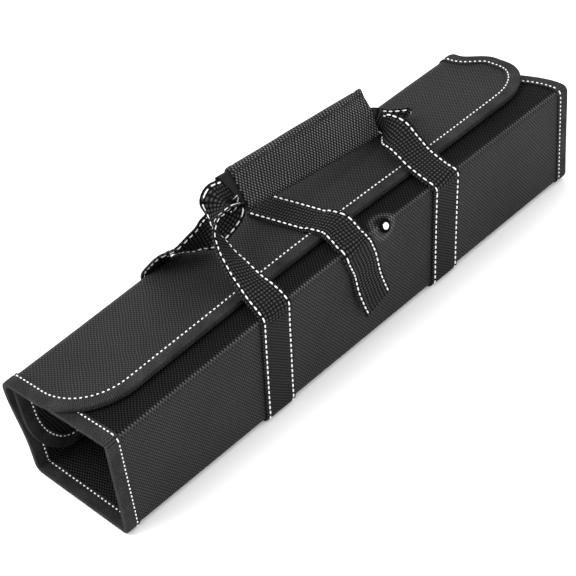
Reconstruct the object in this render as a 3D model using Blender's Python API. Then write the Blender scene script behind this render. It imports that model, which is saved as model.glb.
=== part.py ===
"""A folded knife case of padded black nylon, carried by two webbing straps that meet in one grip.

One rounded panel is folded into a long tube, open at both ends: outer flap, rear wall, floor, front wall,
inner top and an inner flap that hangs inside the rear wall. X runs along the case, the front faces -Y and
+Z is up. The straps run right round the case, so it stands on them, with its origin under its middle.
"""
import math

import bmesh
import bpy
from mathutils import Matrix, Vector

# Case, in metres
CASE_LENGTH = 0.500
DEPTH_TOP = 0.111
DEPTH_BASE = 0.102
CASE_HEIGHT = 0.0935
TOP_BOW = 0.006
PANEL = 0.0025
GAP = 0.0003

# Flaps: where the free edges lie and how their corners are rounded
FLAP_EDGE = 0.032
FLAP_SETBACK = 0.018
FLAP_SETBACK_FRONT = 0.004
INNER_SETBACK = 0.030
FLAP_SHIFT = 0.004
INNER_FLAP_DROP = 0.0815
CORNER_LONG = 0.052
CORNER_DEEP = 0.050
RIGHT_CORNER_LONG = 0.046
RIGHT_CORNER_DEEP = 0.035
INNER_CORNER_LONG = 0.036

# Folds, as radii of the panel's middle surface
FRONT_FOLD = 0.0035
BASE_FOLD = 0.0038
REAR_FOLD = 0.0090
INNER_FOLD = 0.0050

# Tape sewn round the panel's edge
TAPE = 0.0008
TAPE_WIDTH = 0.011

# Webbing
WEB = 0.0020
WEB_WIDTH = 0.030
LEFT_STRAP_X = -0.0955
RIGHT_STRAP_X = 0.0915
STRAP_LEAN = 0.0070
REAR_LEFT_SHIFT = 0.0145
REAR_RIGHT_SHIFT = 0.0045
CLOSURE_X = 0.0
CLOSURE_START = 0.036
CLOSURE_DROP = 0.066
CLOSURE_LIFT = 0.004

# Grip: a flattened sleeve, tilted towards the front
GRIP_LENGTH = 0.1410
GRIP_X = 0.0314
GRIP_Y = 0.0243
GRIP_RISE = 0.0372
GRIP_PITCH = -0.098
GRIP_YAW = -0.016
GRIP_TILT_LEFT = math.radians(55)
GRIP_TILT_RIGHT = math.radians(67)
GRIP_WIDTH_LEFT = 0.0355
GRIP_WIDTH_RIGHT = 0.0420
GRIP_WALL = 0.0016
LINER_WALL = 0.0007
LINER_REACH = 0.0120
WEB_END_INSIDE = 0.030
WEB_SQUEEZE_LEFT = 0.90
WEB_SQUEEZE_RIGHT = 0.62
WEB_DROP_RIGHT = 0.0065

# Stud on the front fold
STUD_X = 0.0295
STUD_RISE = 0.0016
STUD_CAP_D = 0.0064
STUD_RING_D = 0.0110
STUD_RING_T = 0.0008
STUD_CAP_T = 0.0014
STUD_SHANK_D = 0.0026

HALF = PANEL / 2
TAPE_REACH = HALF + GAP + TAPE
LAYER_STEP = 2 * TAPE_REACH + GAP
BASE_Z = WEB + GAP
WEB_OFFSET = HALF + GAP + WEB / 2

# How the top rises between the ends: place as a share of half the length, lift as a share of TOP_BOW
BOW_ROWS = (
    # place, lift
    (-1.00, 0.00),
    (-0.80, 0.20),
    (-0.44, 0.65),
    (-0.10, 1.00),
    (0.20, 0.85),
    (0.45, 0.60),
    (0.70, 0.55),
    (0.92, 0.40),
    (1.00, 0.10),
)

# The straps between wall and grip. along is in strap widths from where the strap leaves its wall; back and
# up are shares of the way from there to the grip; wx, wy and wz point along its width, from lower to higher x,
# and wide is the share of its width that it shows there, less than 1 where it curls.
FRONT_LEFT_ROWS = (
    # along, back, up, wx, wy, wz, wide
    (0.01, 0.00, 0.14, 1.00, -0.02, 0.00, 1.00),
    (0.03, 0.07, 0.24, 1.00, -0.04, -0.03, 1.00),
    (0.05, 0.19, 0.33, 0.99, -0.03, -0.14, 1.00),
    (0.07, 0.30, 0.41, 0.95, 0.04, -0.31, 1.00),
    (0.11, 0.42, 0.50, 0.90, 0.08, -0.43, 1.00),
    (0.16, 0.53, 0.60, 0.83, 0.12, -0.54, 1.00),
    (0.23, 0.65, 0.69, 0.71, 0.16, -0.69, 1.00),
    (0.32, 0.75, 0.80, 0.57, 0.24, -0.79, 1.00),
    (0.48, 0.84, 0.92, 0.23, 0.52, -0.82, 1.00),
    (0.72, 0.89, 1.01, 0.05, 0.86, -0.50, 1.00),
    (0.97, 0.95, 1.10, -0.12, 0.86, 0.50, 1.00),
)
FRONT_RIGHT_ROWS = (
    (-0.02, -0.01, 0.13, 1.00, 0.00, 0.00, 1.00),
    (-0.05, 0.01, 0.28, 1.00, 0.00, 0.00, 1.00),
    (-0.08, 0.10, 0.38, 1.00, 0.02, 0.00, 1.00),
    (-0.08, 0.22, 0.48, 1.00, 0.00, 0.00, 1.00),
    (-0.07, 0.34, 0.59, 1.00, -0.02, 0.01, 1.00),
    (-0.03, 0.46, 0.73, 1.00, -0.06, 0.03, 1.00),
    (0.02, 0.58, 0.85, 0.98, -0.14, 0.12, 1.00),
    (0.08, 0.69, 0.91, 0.85, -0.25, 0.45, 0.98),
    (0.17, 0.80, 0.90, 0.50, -0.35, 0.79, 0.86),
    (0.26, 0.90, 0.87, 0.15, -0.32, 0.93, 0.72),
)
REAR_LEFT_ROWS = (
    (0.00, -0.01, 0.18, 1.00, 0.00, 0.00, 1.00),
    (0.03, 0.09, 0.32, 0.98, 0.10, -0.05, 1.00),
    (0.18, 0.43, 0.46, 0.93, 0.00, -0.35, 1.00),
    (0.43, 0.70, 0.53, 0.88, 0.04, -0.47, 1.00),
    (0.76, 0.87, 0.59, 0.80, -0.08, -0.60, 0.97),
    (1.10, 1.02, 0.64, 0.46, -0.41, -0.79, 0.92),
    (1.50, 1.09, 0.74, 0.35, -0.51, -0.79, 0.88),
    (1.72, 1.12, 0.87, 0.20, -0.60, -0.76, 0.88),
)
REAR_RIGHT_ROWS = (
    (0.00, -0.02, 0.30, 1.00, 0.00, 0.00, 1.00),
    (0.02, 0.10, 0.51, 1.00, 0.00, 0.00, 1.00),
    (0.09, 0.32, 0.57, 1.00, 0.05, 0.00, 1.00),
    (0.32, 0.58, 0.57, 1.00, 0.06, 0.00, 1.00),
    (0.70, 0.86, 0.58, 1.00, 0.06, 0.00, 1.00),
    (1.02, 1.15, 0.59, 0.97, 0.00, 0.08, 0.97),
    (1.09, 1.29, 0.68, 0.80, -0.10, 0.42, 0.80),
    (0.90, 1.24, 0.80, 0.35, -0.20, 0.85, 0.66),
    (0.57, 1.10, 0.90, 0.00, 0.10, 1.00, 0.62),
)

# The closure strap's way sideways: place as a share of its length from the grip down, x in strap widths
CLOSURE_ROWS = (
    # place, x
    (0.00, -0.43),
    (0.33, -0.11),
    (0.43, 0.00),
    (0.50, -0.05),
    (0.60, -0.09),
    (0.71, 0.10),
    (0.86, 0.19),
    (1.00, 0.36),
)


def clear_scene():
    """Remove every object that is there."""
    for thing in list(bpy.data.objects):
        bpy.data.objects.remove(thing, do_unlink=True)


def material(name, colour, roughness, metallic=0.0):
    """A plain finish."""
    made = bpy.data.materials.new(name)
    made.use_nodes = True
    shader = made.node_tree.nodes["Principled BSDF"]
    shader.inputs["Base Color"].default_value = (*colour, 1.0)
    shader.inputs["Roughness"].default_value = roughness
    shader.inputs["Metallic"].default_value = metallic
    return made


def add_object(name, points, faces, finish, smooth_angle=35):
    """Make one named object from points and faces, its faces pointing out."""
    mesh = bpy.data.meshes.new(name)
    mesh.from_pydata([tuple(point) for point in points], [], faces)
    shell = bmesh.new()
    shell.from_mesh(mesh)
    bmesh.ops.recalc_face_normals(shell, faces=shell.faces)
    shell.to_mesh(mesh)
    shell.free()
    thing = bpy.data.objects.new(name, mesh)
    bpy.context.scene.collection.objects.link(thing)
    mesh.materials.append(finish)
    mesh.shade_smooth()
    mesh.set_sharp_from_angle(angle=math.radians(smooth_angle))
    return thing


def read_rows(rows, place):
    """Read a two-column table along a smooth curve through its rows."""
    slopes = []
    for index in range(len(rows)):
        low, high = rows[max(index - 1, 0)], rows[min(index + 1, len(rows) - 1)]
        slopes.append((high[1] - low[1]) / (high[0] - low[0]))
    place = max(rows[0][0], min(rows[-1][0], place))
    for index, ((low, low_value), (high, high_value)) in enumerate(zip(rows, rows[1:])):
        if place <= high:
            break
    span = high - low
    share = (place - low) / span
    rest = 1 - share
    return (
        low_value * rest * rest * (1 + 2 * share)
        + high_value * share * share * (3 - 2 * share)
        + slopes[index] * span * share * rest * rest
        - slopes[index + 1] * span * share * share * rest
    )


def top_lift(x):
    """How far the top is raised at x."""
    return TOP_BOW * read_rows(BOW_ROWS, 2 * x / CASE_LENGTH)


def top_drop(y):
    """How far the inner top has come down at y, on its way from the front fold to the rear."""
    front_top = -DEPTH_TOP / 2 + HALF
    return LAYER_STEP * (y - front_top) / (DEPTH_TOP - PANEL - LAYER_STEP)


def section_corners(x):
    """Corners (y, z) of the panel's middle line across the case, from the inner to the outer free edge."""
    crease_z = BASE_Z + CASE_HEIGHT - HALF + top_lift(x)
    floor_z = BASE_Z + HALF
    front_top = -DEPTH_TOP / 2 + HALF
    rear_top = DEPTH_TOP / 2 - HALF
    front_base = -DEPTH_BASE / 2 + HALF
    rear_base = DEPTH_BASE / 2 - HALF
    inner_y = rear_top - LAYER_STEP
    inner_z = crease_z - top_drop(inner_y)
    lean = (rear_top - rear_base) / (crease_z - floor_z)
    return (
        (inner_y - lean * INNER_FLAP_DROP, inner_z - INNER_FLAP_DROP),
        (inner_y, inner_z),
        (front_top, crease_z),
        (front_base, floor_z),
        (rear_base, floor_z),
        (rear_top, crease_z - top_drop(rear_top) + LAYER_STEP),
        (-FLAP_EDGE, crease_z - top_drop(-FLAP_EDGE) + LAYER_STEP),
    )


FOLD_RADII = (INNER_FOLD, FRONT_FOLD, BASE_FOLD, BASE_FOLD, REAR_FOLD)


def section_pieces(x):
    """Straight and round pieces of the middle line at x, in order, each with its length."""
    corners = [Vector(corner) for corner in section_corners(x)]
    pieces = []
    start = corners[0]
    for before, corner, after, radius in zip(corners, corners[1:], corners[2:], FOLD_RADII):
        inward = (before - corner).normalized()
        onward = (after - corner).normalized()
        half_angle = math.acos(max(-1.0, min(1.0, inward.dot(onward)))) / 2
        setback = radius / math.tan(half_angle)
        first = corner + inward * setback
        last = corner + onward * setback
        centre = corner + (inward + onward).normalized() * (radius / math.sin(half_angle))
        pieces.append(("line", start, first, (first - start).length))
        pieces.append(("arc", centre, first - centre, radius * (math.pi - 2 * half_angle)))
        start = last
    pieces.append(("line", start, corners[-1], (corners[-1] - start).length))
    return pieces


PLAIN_PIECES = section_pieces(-CASE_LENGTH / 2)
PANEL_LENGTH = sum(piece[3] for piece in PLAIN_PIECES)
PIECE_CACHE = {}


def piece_start(index):
    """Distance along the panel at which a piece of the section starts."""
    return sum(piece[3] for piece in PLAIN_PIECES[:index])


INNER_TOP, FRONT_WALL, FLOOR, REAR_WALL, OUTER_FLAP = 2, 4, 6, 8, 10


def on_panel(s, x):
    """Point, outward normal and direction of s on the panel's middle surface, s along the fold, x across."""
    key = round(x, 7)
    if key not in PIECE_CACHE:
        PIECE_CACHE[key] = section_pieces(x)
    pieces = PIECE_CACHE[key]
    index = 0
    left = s
    while index < len(pieces) - 1 and left > PLAIN_PIECES[index][3]:
        left -= PLAIN_PIECES[index][3]
        index += 1
    share = left / PLAIN_PIECES[index][3]
    piece = pieces[index]
    if piece[0] == "line":
        flat = piece[1] + (piece[2] - piece[1]) * share
        along = (piece[2] - piece[1]).normalized()
    else:
        radius = piece[2].length
        turn = share * piece[3] / radius
        arm = Vector((
            piece[2].x * math.cos(turn) - piece[2].y * math.sin(turn),
            piece[2].x * math.sin(turn) + piece[2].y * math.cos(turn),
        ))
        flat = piece[1] + arm
        along = Vector((-arm.y, arm.x)) / radius
    point = Vector((x, flat.x, flat.y))
    normal = Vector((0.0, along.y, -along.x))
    return point, normal, Vector((0.0, along.x, along.y))


def corner_cut(inset, long_radius, deep_radius):
    """How far a rounded corner takes the panel's end back, at this distance from the free edge."""
    if inset >= deep_radius:
        return 0.0
    share = (deep_radius - max(inset, 0.0)) / deep_radius
    return long_radius * (1 - math.sqrt(max(0.0, 1 - share * share)))


def eased(share):
    """A share held between 0 and 1 that starts and ends gently."""
    share = max(0.0, min(1.0, share))
    return share * share * (3 - 2 * share)


def end_x(s, right):
    """Where the panel ends along X, at this distance along the fold."""
    outer_inset = PANEL_LENGTH - s
    inner_cut = corner_cut(s, INNER_CORNER_LONG, CORNER_DEEP)
    end = CASE_LENGTH / 2 - GAP - TAPE
    wall_share = (s - piece_start(REAR_WALL)) / PLAIN_PIECES[REAR_WALL][3]
    wall = eased((wall_share - 0.2) / 0.8)
    if not right:
        return -end - FLAP_SHIFT * wall + inner_cut + corner_cut(outer_inset, CORNER_LONG, CORNER_DEEP)
    flap_share = (s - piece_start(OUTER_FLAP)) / (PLAIN_PIECES[OUTER_FLAP][3] - RIGHT_CORNER_DEEP)
    flap = eased((flap_share - 0.06) / 0.64)
    setback = FLAP_SETBACK + (FLAP_SETBACK_FRONT - FLAP_SETBACK) * flap
    inner_share = (s - piece_start(INNER_TOP)) / PLAIN_PIECES[INNER_TOP][3]
    end -= setback * wall + INNER_SETBACK * eased(1 - inner_share / 0.96)
    return end - inner_cut - corner_cut(outer_inset, RIGHT_CORNER_LONG, RIGHT_CORNER_DEEP)


def panel_rows():
    """Distances along the fold at which the panel has a row of points."""
    corner_steps = 6
    rows = [CORNER_DEEP * (1 - math.cos(math.pi / 2 * step / corner_steps)) for step in range(corner_steps)]
    line_steps = {0: 0, INNER_TOP: 7, FRONT_WALL: 2, FLOOR: 2, REAR_WALL: 4, OUTER_FLAP: 0}
    arc_steps = {1: 4, 3: 4, 5: 4, 7: 4, 9: 6}
    for index, piece in enumerate(PLAIN_PIECES):
        start = piece_start(index)
        if piece[0] == "arc":
            rows += [start + piece[3] * step / arc_steps[index] for step in range(arc_steps[index] + 1)]
        else:
            count = line_steps[index]
            rows += [start + piece[3] * step / count for step in range(1, count)]
    rows.append((piece_start(0) + PLAIN_PIECES[0][3] + CORNER_DEEP) / 2)
    rows += [PANEL_LENGTH - row for row in rows[:corner_steps]]
    flap_start = piece_start(OUTER_FLAP)
    rows += [flap_start + REAR_FOLD / 3, (flap_start + PANEL_LENGTH - CORNER_DEEP) / 2]
    rows.append(PANEL_LENGTH - CORNER_DEEP)
    rows.append(CORNER_DEEP)
    return sorted(set(round(row, 7) for row in rows))


COLUMNS = 22


def column_place(column, left, right):
    """X of one of the panel's columns; the outermost strips are as wide as the tape."""
    if column == 0:
        return left
    if column == COLUMNS:
        return right
    share = (column - 1) / (COLUMNS - 2)
    return left + TAPE_WIDTH + (right - left - 2 * TAPE_WIDTH) * share


def build_wrap(finish):
    """The folded panel, as a sheet with its real thickness."""
    rows = panel_rows()
    points = []
    for side in (1, -1):
        for s in rows:
            left = end_x(s, False)
            right = end_x(s, True)
            for column in range(COLUMNS + 1):
                x = column_place(column, left, right)
                point, normal, _ = on_panel(s, x)
                points.append(point + normal * HALF * side)
    width = COLUMNS + 1
    sheet = len(rows) * width
    faces = []
    for row in range(len(rows) - 1):
        for column in range(COLUMNS):
            a = row * width + column
            quad = (a, a + 1, a + 1 + width, a + width)
            faces.append(quad[::-1])
            faces.append(tuple(sheet + corner for corner in quad))
    for row in range(len(rows) - 1):
        left = row * width
        faces.append((left, left + width, sheet + left + width, sheet + left)[::-1])
        right = left + COLUMNS
        faces.append((right, right + width, sheet + right + width, sheet + right))
    for column in range(COLUMNS):
        faces.append((column, column + 1, sheet + column + 1, sheet + column))
        last = (len(rows) - 1) * width + column
        faces.append((last, last + 1, sheet + last + 1, sheet + last)[::-1])
    return add_object("case_wrap", points, faces, finish)


def edge_loop():
    """The panel's edge as flat points (x, s), once round."""
    rows = panel_rows()
    loop = [(end_x(s, False), s) for s in rows]
    steps = COLUMNS // 2
    top_left, top_right = end_x(rows[-1], False), end_x(rows[-1], True)
    loop += [(top_left + (top_right - top_left) * step / steps, rows[-1]) for step in range(1, steps)]
    loop += [(end_x(s, True), s) for s in reversed(rows)]
    low_left, low_right = end_x(rows[0], False), end_x(rows[0], True)
    loop += [(low_right + (low_left - low_right) * step / steps, rows[0]) for step in range(1, steps)]
    return loop


def build_binding(finish):
    """The tape folded over the panel's edge, one closed ring of a U-shaped section."""
    loop = [Vector(point) for point in edge_loop()]
    reach = HALF + GAP
    profile = (
        (TAPE_WIDTH, reach),
        (TAPE_WIDTH, reach + TAPE),
        (-GAP - TAPE / 2, reach + TAPE),
        (-GAP - TAPE, reach + TAPE / 2),
        (-GAP - TAPE, -reach - TAPE / 2),
        (-GAP - TAPE / 2, -reach - TAPE),
        (TAPE_WIDTH, -reach - TAPE),
        (TAPE_WIDTH, -reach),
        (-GAP, -reach),
        (-GAP, reach),
    )
    points = []
    for index, spot in enumerate(loop):
        before = loop[index - 1]
        after = loop[(index + 1) % len(loop)]
        run = (after - before).normalized()
        inward = Vector((run.y, -run.x))
        for inset, height in profile:
            place = spot + inward * inset
            point, normal, _ = on_panel(place.y, place.x)
            points.append(point + normal * height)
    count = len(profile)
    faces = []
    for index in range(len(loop)):
        here = index * count
        there = (index + 1) % len(loop) * count
        for corner in range(count):
            following = (corner + 1) % count
            faces.append((here + corner, there + corner, there + following, here + following))
    return add_object("edge_binding", points, faces, finish)


def ribbon(name, stations, thickness, width, finish):
    """A flat strip through stations of (centre, across); across is as long as the share of the width it has."""
    points = []
    for index, (centre, across) in enumerate(stations):
        share = across.length
        before = stations[max(index - 1, 0)][0]
        after = stations[min(index + 1, len(stations) - 1)][0]
        run = (after - before).normalized()
        across = (across - run * across.dot(run)).normalized()
        outward = across.cross(run)
        for side, face in ((-1, 1), (1, 1), (1, -1), (-1, -1)):
            points.append(centre + across * side * width * share / 2 + outward * face * thickness / 2)
    faces = [(0, 1, 2, 3)]
    for index in range(len(stations) - 1):
        here = index * 4
        for corner in range(4):
            following = (corner + 1) % 4
            faces.append((here + corner, here + 4 + corner, here + 4 + following, here + following))
    last = len(stations) * 4 - 4
    faces.append((last + 3, last + 2, last + 1, last))
    return add_object(name, points, faces, finish)


def smooth_run(keys, steps):
    """Points on a smooth curve through keys of (centre, across), with steps between each two."""
    padded = [keys[0]] + list(keys) + [keys[-1]]
    run = []
    for index in range(1, len(padded) - 2):
        four = padded[index - 1:index + 3]
        for step in range(steps):
            share = step / steps
            weights = (
                (-share + 2 * share ** 2 - share ** 3) / 2,
                (2 - 5 * share ** 2 + 3 * share ** 3) / 2,
                (share + 4 * share ** 2 - 3 * share ** 3) / 2,
                (-share ** 2 + share ** 3) / 2,
            )
            centre = sum((key[0] * weight for key, weight in zip(four, weights)), Vector())
            across = sum((key[1] * weight for key, weight in zip(four, weights)), Vector())
            squeeze = sum(key[1].length * weight for key, weight in zip(four, weights))
            run.append((centre, across.normalized() * squeeze))
    run.append(keys[-1])
    return run


def grip_axis():
    """Middle point and direction of the grip's axis."""
    middle = Vector((GRIP_X, GRIP_Y, BASE_Z + CASE_HEIGHT + GRIP_RISE))
    return middle, Vector((1.0, GRIP_YAW, GRIP_PITCH)).normalized()


def grip_frame(share):
    """Centre, axis, width and face directions and width of the grip, share 0 at its left end, 1 at its right."""
    middle, axis = grip_axis()
    centre = middle + axis * GRIP_LENGTH * (share - 0.5)
    tilt = GRIP_TILT_LEFT + (GRIP_TILT_RIGHT - GRIP_TILT_LEFT) * share
    across = Vector((0.0, math.cos(tilt), math.sin(tilt)))
    across = (across - axis * across.dot(axis)).normalized()
    width = GRIP_WIDTH_LEFT + (GRIP_WIDTH_RIGHT - GRIP_WIDTH_LEFT) * share
    return centre, axis, across, axis.cross(across), width


def wall_stations(front_x, rear_x, lean):
    """The strap sewn round the case: up or down the walls and under the floor, from front fold to rear fold."""
    first = piece_start(FRONT_WALL) + PLAIN_PIECES[FRONT_WALL][3] * 0.02
    last = piece_start(REAR_WALL) + PLAIN_PIECES[REAR_WALL][3] * 0.94
    stops = [first + (piece_start(FLOOR - 1) - first) * step / 5 for step in range(5)]
    for index in (FLOOR - 1, FLOOR + 1):
        stops += [piece_start(index) + PLAIN_PIECES[index][3] * step / 5 for step in range(6)]
    wall = piece_start(REAR_WALL)
    stops += [wall + (last - wall) * step / 5 for step in range(1, 6)]
    stations = []
    for s in stops:
        wall_share = (s - first) / (piece_start(FLOOR) - first)
        if wall_share < 1:
            x = front_x + lean * (1 - wall_share)
        else:
            x = front_x + (rear_x - front_x) * (s - piece_start(FLOOR)) / (last - piece_start(FLOOR))
        point, normal, _ = on_panel(s, x)
        stations.append((point + normal * WEB_OFFSET, Vector((1.0, 0.0, 0.0))))
    return stations


def free_stations(rows, start, end):
    """Keys of a strap between its wall and the grip, from a table of strap widths and shares."""
    keys = []
    for along, back, up, wx, wy, wz, wide in rows:
        place = Vector((
            start.x + WEB_WIDTH * along,
            start.y + (end.y - start.y) * back,
            start.z + (end.z - start.z) * up,
        ))
        keys.append((place, Vector((wx, wy, wz)).normalized() * wide))
    return keys


def grip_stations(share, layer, turn, mouth, squeeze, shift):
    """Keys of a strap inside the grip, from its mouth inwards; layer is 1 for the front strap, -1 for the rear."""
    inward = 1 if share < 0.5 else -1
    keys = []
    for depth in (-mouth, 0.0, mouth, WEB_END_INSIDE):
        centre, axis, across, face, _ = grip_frame(share + inward * max(depth, 0.0) / GRIP_LENGTH)
        centre = centre + axis * inward * min(depth, 0.0) + across * shift
        keys.append((centre + face * layer * (WEB + GAP) / 2, across * turn * squeeze))
    return keys


def build_strap(name, front_x, rear_x, front_end, rear_end, front_rows, rear_rows, finish):
    """One webbing strap: out of the grip, down the front, under the floor, up the rear and into the grip."""
    wall = wall_stations(front_x, rear_x, STRAP_LEAN)
    front = [wall[0]] + free_stations(front_rows, wall[0][0], front_end[1][0]) + front_end
    rear = [wall[-1]] + free_stations(rear_rows, wall[-1][0], rear_end[1][0]) + rear_end
    stations = smooth_run(front, 3)[:0:-1] + wall + smooth_run(rear, 3)[1:]
    return ribbon(name, stations, WEB, WEB_WIDTH, finish)


def closure_side():
    """The closure strap seen from its end: (y, height over the front fold) of its middle line."""
    rest = 2 * GAP + WEB / 2
    edge = -FLAP_EDGE - GAP - TAPE
    front = -DEPTH_TOP / 2
    lean = (DEPTH_TOP - DEPTH_BASE) / 2 / CASE_HEIGHT
    over_tape = rest + TAPE + GAP
    fold = FRONT_FOLD + HALF
    wrap = fold + rest + GAP
    side = []
    for y, over_flap in (
        (CLOSURE_START, rest),
        (CLOSURE_START * 0.5, rest),
        (0.0, rest),
        (edge + TAPE_WIDTH * 1.7, rest),
        (edge + TAPE_WIDTH * 1.2, over_tape),
        (edge + TAPE, over_tape),
    ):
        side.append((y, LAYER_STEP - top_drop(y) + over_flap))
    side.append((edge * 0.6 + front * 0.4, side[-1][1] * 0.75))
    for degrees in (80, 100, 120, 140, 160, 178):
        angle = math.radians(degrees)
        side.append((front + fold + wrap * math.cos(angle), -fold + wrap * math.sin(angle)))
    for share in (0.18, 0.35, 0.6, 0.8, 1.0):
        drop = CLOSURE_DROP * share
        lift = CLOSURE_LIFT * max(0.0, (share - 0.35) / 0.65) ** 1.5
        side.append((front + lean * drop - rest - GAP - lift, -drop))
    return side


def build_closure(finish):
    """The slanted strap that is sewn on the flap under the grip and holds it down on the front wall."""
    side = closure_side()
    lengths = [0.0]
    for before, after in zip(side, side[1:]):
        lengths.append(lengths[-1] + (Vector(after) - Vector(before)).length)
    centres = []
    for (y, height), at in zip(side, lengths):
        x = CLOSURE_X + WEB_WIDTH * read_rows(CLOSURE_ROWS, at / lengths[-1])
        lift = max(top_lift(x + WEB_WIDTH * share) for share in (-0.6, -0.3, 0.0, 0.3, 0.6))
        centres.append(Vector((x, y, BASE_Z + CASE_HEIGHT + height + lift)))
    stations = []
    for index, centre in enumerate(centres):
        run = (centres[min(index + 1, len(centres) - 1)] - centres[max(index - 1, 0)]).normalized()
        stations.append((centre, (Vector((1.0, 0.0, 0.0)) - run * run.x).normalized()))
    return ribbon("closure_strap", stations, WEB, WEB_WIDTH, finish)


GRIP_SIDES = 24
GRIP_STEPS = 8


def sleeve_ring(share, grow, reach=0.0):
    """One ring of the sleeve: a flat oval, grow inside or outside its wall's outer face."""
    centre, axis, across, face, width = grip_frame(share)
    thickness = 2 * (WEB + GAP + LINER_WALL + GAP + GRIP_WALL) + GAP
    radius = thickness / 2
    half = width / 2 - radius
    ring = []
    for side in range(GRIP_SIDES):
        angle = 2 * math.pi * (side + 0.5) / GRIP_SIDES
        sideways = math.cos(angle)
        place = (half if sideways > 0 else -half) + (radius + grow) * sideways
        height = (radius + grow) * math.sin(angle)
        pull = reach * (0.5 + 0.5 * place / (width / 2))
        ring.append(centre + across * place + face * height - axis * pull)
    return ring


def build_sleeve(name, outer_grow, inner_grow, reach, right_share, finish):
    """A flattened tube round the straps, open at both ends."""
    rings = [(step / GRIP_STEPS, 0.0) for step in range(GRIP_STEPS)] + [(right_share, 0.0)]
    if reach:
        rings.insert(0, (0.0, reach))
    points = []
    for grow in (outer_grow, inner_grow):
        for share, pull in rings:
            points += sleeve_ring(share, grow, pull)
    layer = len(rings) * GRIP_SIDES
    faces = []
    for step in range(len(rings) - 1):
        for side in range(GRIP_SIDES):
            following = (side + 1) % GRIP_SIDES
            a = step * GRIP_SIDES
            quad = (a + side, a + following, a + GRIP_SIDES + following, a + GRIP_SIDES + side)
            for corners in (quad[:3], (quad[0], quad[2], quad[3])):
                faces.append(corners[::-1])
                faces.append(tuple(layer + corner for corner in corners))
    for side in range(GRIP_SIDES):
        following = (side + 1) % GRIP_SIDES
        faces.append((side, following, layer + following, layer + side))
        last = (len(rings) - 1) * GRIP_SIDES
        faces.append((last + side, last + following, layer + last + following, layer + last + side)[::-1])
    return add_object(name, points, faces, finish)


def turned(name, profile, sides, origin, axis, finish):
    """A closed round solid from a closed profile of (radius, height), turned about an axis."""
    side_a = axis.orthogonal().normalized()
    side_b = axis.cross(side_a)
    points = []
    for turn in range(sides):
        angle = 2 * math.pi * turn / sides
        arm = side_a * math.cos(angle) + side_b * math.sin(angle)
        points += [origin + arm * radius + axis * height for radius, height in profile]
    count = len(profile)
    faces = []
    for turn in range(sides):
        here = turn * count
        there = (turn + 1) % sides * count
        for corner in range(count):
            following = (corner + 1) % count
            faces.append((here + corner, here + following, there + following, there + corner))
    return add_object(name, points, faces, finish)


def build_stud(cap_finish, ring_finish):
    """The stud on the front fold: a washer and a low domed cap on a hollow shank."""
    point, normal, _ = on_panel(piece_start(FRONT_WALL) - STUD_RISE, STUD_X)
    seat = point + normal * (HALF + GAP)
    shank = STUD_SHANK_D / 2
    ring_r = STUD_RING_D / 2
    turned("stud_ring", (
        (shank + GAP, 0.0),
        (ring_r, 0.0),
        (ring_r, STUD_RING_T * 0.55),
        (ring_r * 0.82, STUD_RING_T),
        (shank + GAP, STUD_RING_T),
    ), 24, seat, normal, ring_finish)
    cap_r = STUD_CAP_D / 2
    low = STUD_RING_T + GAP
    eyelet = shank * 0.35
    turned("stud_cap", (
        (eyelet, 0.0),
        (shank, 0.0),
        (shank, low),
        (cap_r, low),
        (cap_r * 0.97, low + STUD_CAP_T * 0.5),
        (cap_r * 0.70, low + STUD_CAP_T * 0.92),
        (eyelet, low + STUD_CAP_T),
    ), 24, seat, normal, cap_finish)


def centre_all():
    """Bring the origin under the middle of everything, on the surface that the case stands on."""
    meshes = [thing.data for thing in bpy.data.objects]
    points = [vertex.co for mesh in meshes for vertex in mesh.vertices]
    low = Vector(min(point[axis] for point in points) for axis in range(3))
    high = Vector(max(point[axis] for point in points) for axis in range(3))
    middle = (low + high) / 2
    move = Matrix.Translation((-middle.x, -middle.y, -low.z))
    for mesh in meshes:
        mesh.transform(move)


def main():
    clear_scene()
    nylon = material("nylon", (0.018, 0.018, 0.019), 0.75)
    tape = material("binding_tape", (0.014, 0.014, 0.015), 0.8)
    webbing = material("webbing", (0.016, 0.016, 0.017), 0.7)
    mesh = material("grip_mesh", (0.02, 0.02, 0.021), 0.55)
    liner = material("grip_liner", (0.012, 0.012, 0.013), 0.7)
    metal = material("stud_metal", (0.8, 0.8, 0.8), 0.3, 1.0)
    washer = material("stud_washer", (0.02, 0.02, 0.02), 0.4, 1.0)
    build_wrap(nylon)
    build_binding(tape)
    build_strap(
        "left_strap", LEFT_STRAP_X, LEFT_STRAP_X + STRAP_LEAN - REAR_LEFT_SHIFT,
        grip_stations(0.0, 1, 1, LINER_REACH, WEB_SQUEEZE_LEFT, 0.0),
        grip_stations(0.0, -1, -1, LINER_REACH, WEB_SQUEEZE_LEFT, 0.0),
        FRONT_LEFT_ROWS, REAR_LEFT_ROWS, webbing,
    )
    build_strap(
        "right_strap", RIGHT_STRAP_X, RIGHT_STRAP_X + STRAP_LEAN - REAR_RIGHT_SHIFT,
        grip_stations(1.0, 1, 1, LINER_REACH / 4, WEB_SQUEEZE_RIGHT, -WEB_DROP_RIGHT),
        grip_stations(1.0, -1, 1, LINER_REACH / 4, WEB_SQUEEZE_RIGHT, -WEB_DROP_RIGHT),
        FRONT_RIGHT_ROWS, REAR_RIGHT_ROWS, webbing,
    )
    build_closure(webbing)
    build_sleeve("grip_wrap", 0.0, -GRIP_WALL, 0.0, 1.0, mesh)
    liner_grow = -GRIP_WALL - GAP
    build_sleeve("grip_liner", liner_grow, liner_grow - LINER_WALL, LINER_REACH, 0.98, liner)
    build_stud(metal, washer)
    centre_all()


main()
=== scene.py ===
"""Looks of the folded knife case: black ribbed nylon, bound edges, webbing, a mesh grip and white stitches.

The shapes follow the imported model: the panel's fold, the straps' routes and the grip are worked out from the
same named sizes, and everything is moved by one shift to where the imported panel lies.
"""
import bisect
import math

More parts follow.
